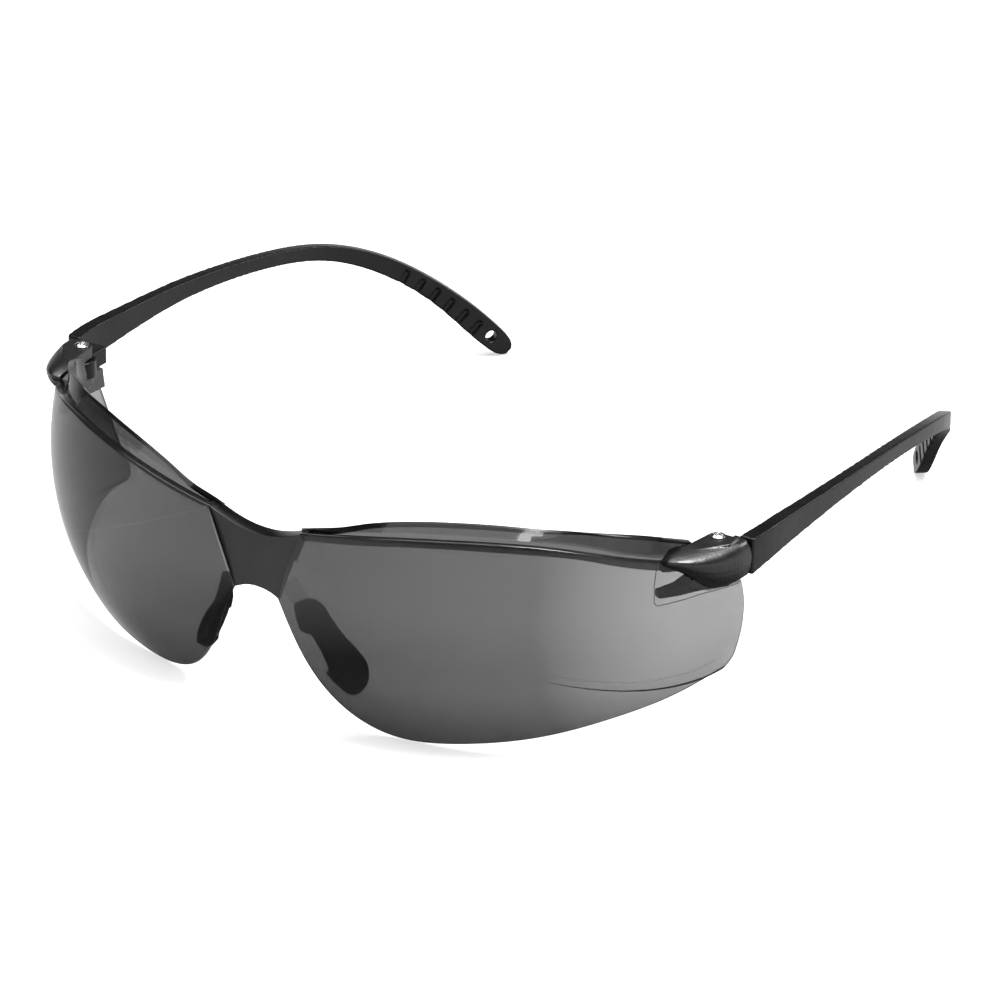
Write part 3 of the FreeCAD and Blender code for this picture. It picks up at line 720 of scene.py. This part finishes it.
def make_endpieces(materials):
    table = np.array(SHOULDER)
    stations = np.linspace(0, len(table) - 1, 61)
    flat = hermite(np.arange(len(table)), table.reshape(len(table), -1), stations)
    parts = [skin("shoulder", [shoulder_ring(*row.reshape(3, 3)) for row in flat]),
             prism("lug_upper", LUG, *LUG_UPPER), prism("lug_lower", LUG, *LUG_LOWER)]
    parts += [plate(f"prong_{i}", fill, PRONG_BACK, PRONG_FRONT) for i, fill in enumerate(PRONGS)]
    both_sides("endpiece", joined(parts, NET, SOFTENED), materials["endpiece"], "gloss_black", "front")


def pad_mesh():
    """A bean with a slot on its nose side, bent away from the nose at both ends."""
    outline = np.array(PAD_OUTLINE)
    loop = np.concatenate([outline[-2:], outline, outline[:3]])
    at = np.arange(len(loop)) - 2
    line = hermite(at, loop, np.linspace(0, len(outline), 241)[:-1])
    way = unit(np.roll(line, -1, axis=0) - np.roll(line, 1, axis=0))
    inward = np.stack([way[:, 1], -way[:, 0]], axis=1)
    across = np.array(PAD_ALONG.cross(PAD_FACE))
    lens_room = LENS_RADIUS - LENS_THICKNESS - 0.1
    rings = []
    for level, inset in ((-1.33, 0.5), (-1.15, 0.15), (-0.9, 0.0), (0.25, 0.0), (0.5, 0.15), (0.67, 0.5)):
        s, t = (line + inward * inset).T
        v = level - s**2 / (2 * PAD_BEND)
        points = np.array(PAD_MIDDLE) + s[:, None] * np.array(PAD_ALONG) + t[:, None] * across
        points = points + v[:, None] * np.array(PAD_FACE)
        out = points - np.array(LENS_CENTRE)
        length = np.linalg.norm(out, axis=1, keepdims=True)
        rings.append(np.array(LENS_CENTRE) + out * np.minimum(1, lens_room / length))
    return joined([skin("pad_mesh", rings)], NET, SOFTENED)


def make_small_parts(materials):
    for node, material, slot in (("hinge_screw", "steel", "bright_steel"), ("hinge_nut", "brass", "brass")):
        mesh = moulded(f"{node}_right", 0.045, 1)
        both_sides(node, mesh, materials[material], slot, "front")


def make_black_parts(materials):
    make_endpieces(materials)
    both_sides("temple", moulded("temple_right", 0.18, 3), materials["temple"], "satin_black")
    both_sides("nose_pad", pad_mesh(), materials["pad"], "soft_black", "front")
    make_small_parts(materials)


# ---------------------------------------------------------------- stage

def make_floor():
    """A pale floor that curves up into a wall all round, far outside the view."""
    profile = [(0.02, 0.0)] + [(r, 0.0) for r in (0.3, 0.8, 1.6, 2.4, 3.0)]
    profile += [(3.0 + math.sin(a), 1.0 - math.cos(a)) for a in np.linspace(0.2, math.pi / 2, 8)]
    profile += [(4.0, 1.8)]
    n = 96
    verts = [(0, 0, 0)] + [(r * math.cos(2 * math.pi * j / n), r * math.sin(2 * math.pi * j / n), z)
                           for r, z in profile for j in range(n)]
    faces = [(0, 1 + j, 1 + (j + 1) % n) for j in range(n)]
    for i in range(len(profile) - 1):
        for j in range(n):
            k = (j + 1) % n
            faces.append((1 + i * n + j, 1 + (i + 1) * n + j, 1 + (i + 1) * n + k, 1 + i * n + k))
    mesh = bpy.data.meshes.new("floor")
    mesh.from_pydata(verts, [], faces)
    mesh.polygons.foreach_set("use_smooth", [True] * len(mesh.polygons))
    material, tree, shader = new_material("pale_floor")
    shader.inputs["Roughness"].default_value = 0.9
    shader.inputs["Specular IOR Level"].default_value = 0.0
    pale = two_tone(tree, noise(tree, 3.0), (0.5, 0.5, 0.5), (0.52, 0.52, 0.52))
    tree.links.new(pale, shader.inputs["Base Color"])
    tree.links.new(pale, shader.inputs["Emission Color"])
    shader.inputs["Emission Strength"].default_value = 1.15
    mesh.materials.append(material)
    floor = bpy.data.objects.new("floor", mesh)
    bpy.context.scene.collection.objects.link(floor)
    floor.visible_glossy = False


def softbox(name, place, target, width, height, radiance):
    data = bpy.data.lights.new(name, "AREA")
    data.shape = "RECTANGLE"
    data.size, data.size_y = width, height
    data.energy = radiance * math.pi * width * height
    lamp = bpy.data.objects.new(name, data)
    lamp.location = place
    lamp.rotation_mode = "QUATERNION"
    lamp.rotation_quaternion = (Vector(target) - Vector(place)).to_track_quat("-Z", "Y")
    lamp.visible_camera = False
    bpy.context.scene.collection.objects.link(lamp)
    return lamp


def make_light():
    softbox("overhead", (0, -0.05, 1.2), (0, -0.05, 0), 1.6, 1.6, 3.2)
    softbox("back_right", (0.75, 1.1, 0.72), (0.06, -0.03, 0.03), 0.55, 0.4, 9.0)
    softbox("over_right", (0.45, 0.02, 1.1), (0.06, -0.04, 0.03), 0.45, 0.55, 26.0)
    world = bpy.data.worlds.new("studio")
    world.use_nodes = True
    bpy.context.scene.world = world
    tree = world.node_tree
    background = tree.nodes["Background"]
    where = tree.nodes.new("ShaderNodeTexCoord")
    split = tree.nodes.new("ShaderNodeSeparateXYZ")
    tree.links.new(where.outputs["Generated"], split.inputs["Vector"])
    height = span(tree, split.outputs["Z"], 0.0, 1.0, -1.0, 1.0)
    ramp = tree.nodes.new("ShaderNodeValToRGB")
    for position, tone in ((0.13, 0.1), (0.27, 0.85), (0.48, 0.85)):
        ramp.color_ramp.elements.new(position).color = (tone, tone, tone, 1)
    ramp.color_ramp.elements[0].color = (0.1, 0.1, 0.1, 1)
    ramp.color_ramp.elements[-1].position = 0.62
    ramp.color_ramp.elements[-1].color = (0.04, 0.04, 0.04, 1)
    tree.links.new(height, ramp.inputs["Fac"])
    tree.links.new(ramp.outputs["Color"], background.inputs["Color"])
    bpy.context.scene.view_settings.view_transform = "Standard"


make_camera()
made = make_materials()
make_lenses(made)
make_seat_lines(made)
make_front(made)
make_black_parts(made)
make_floor()
make_light()
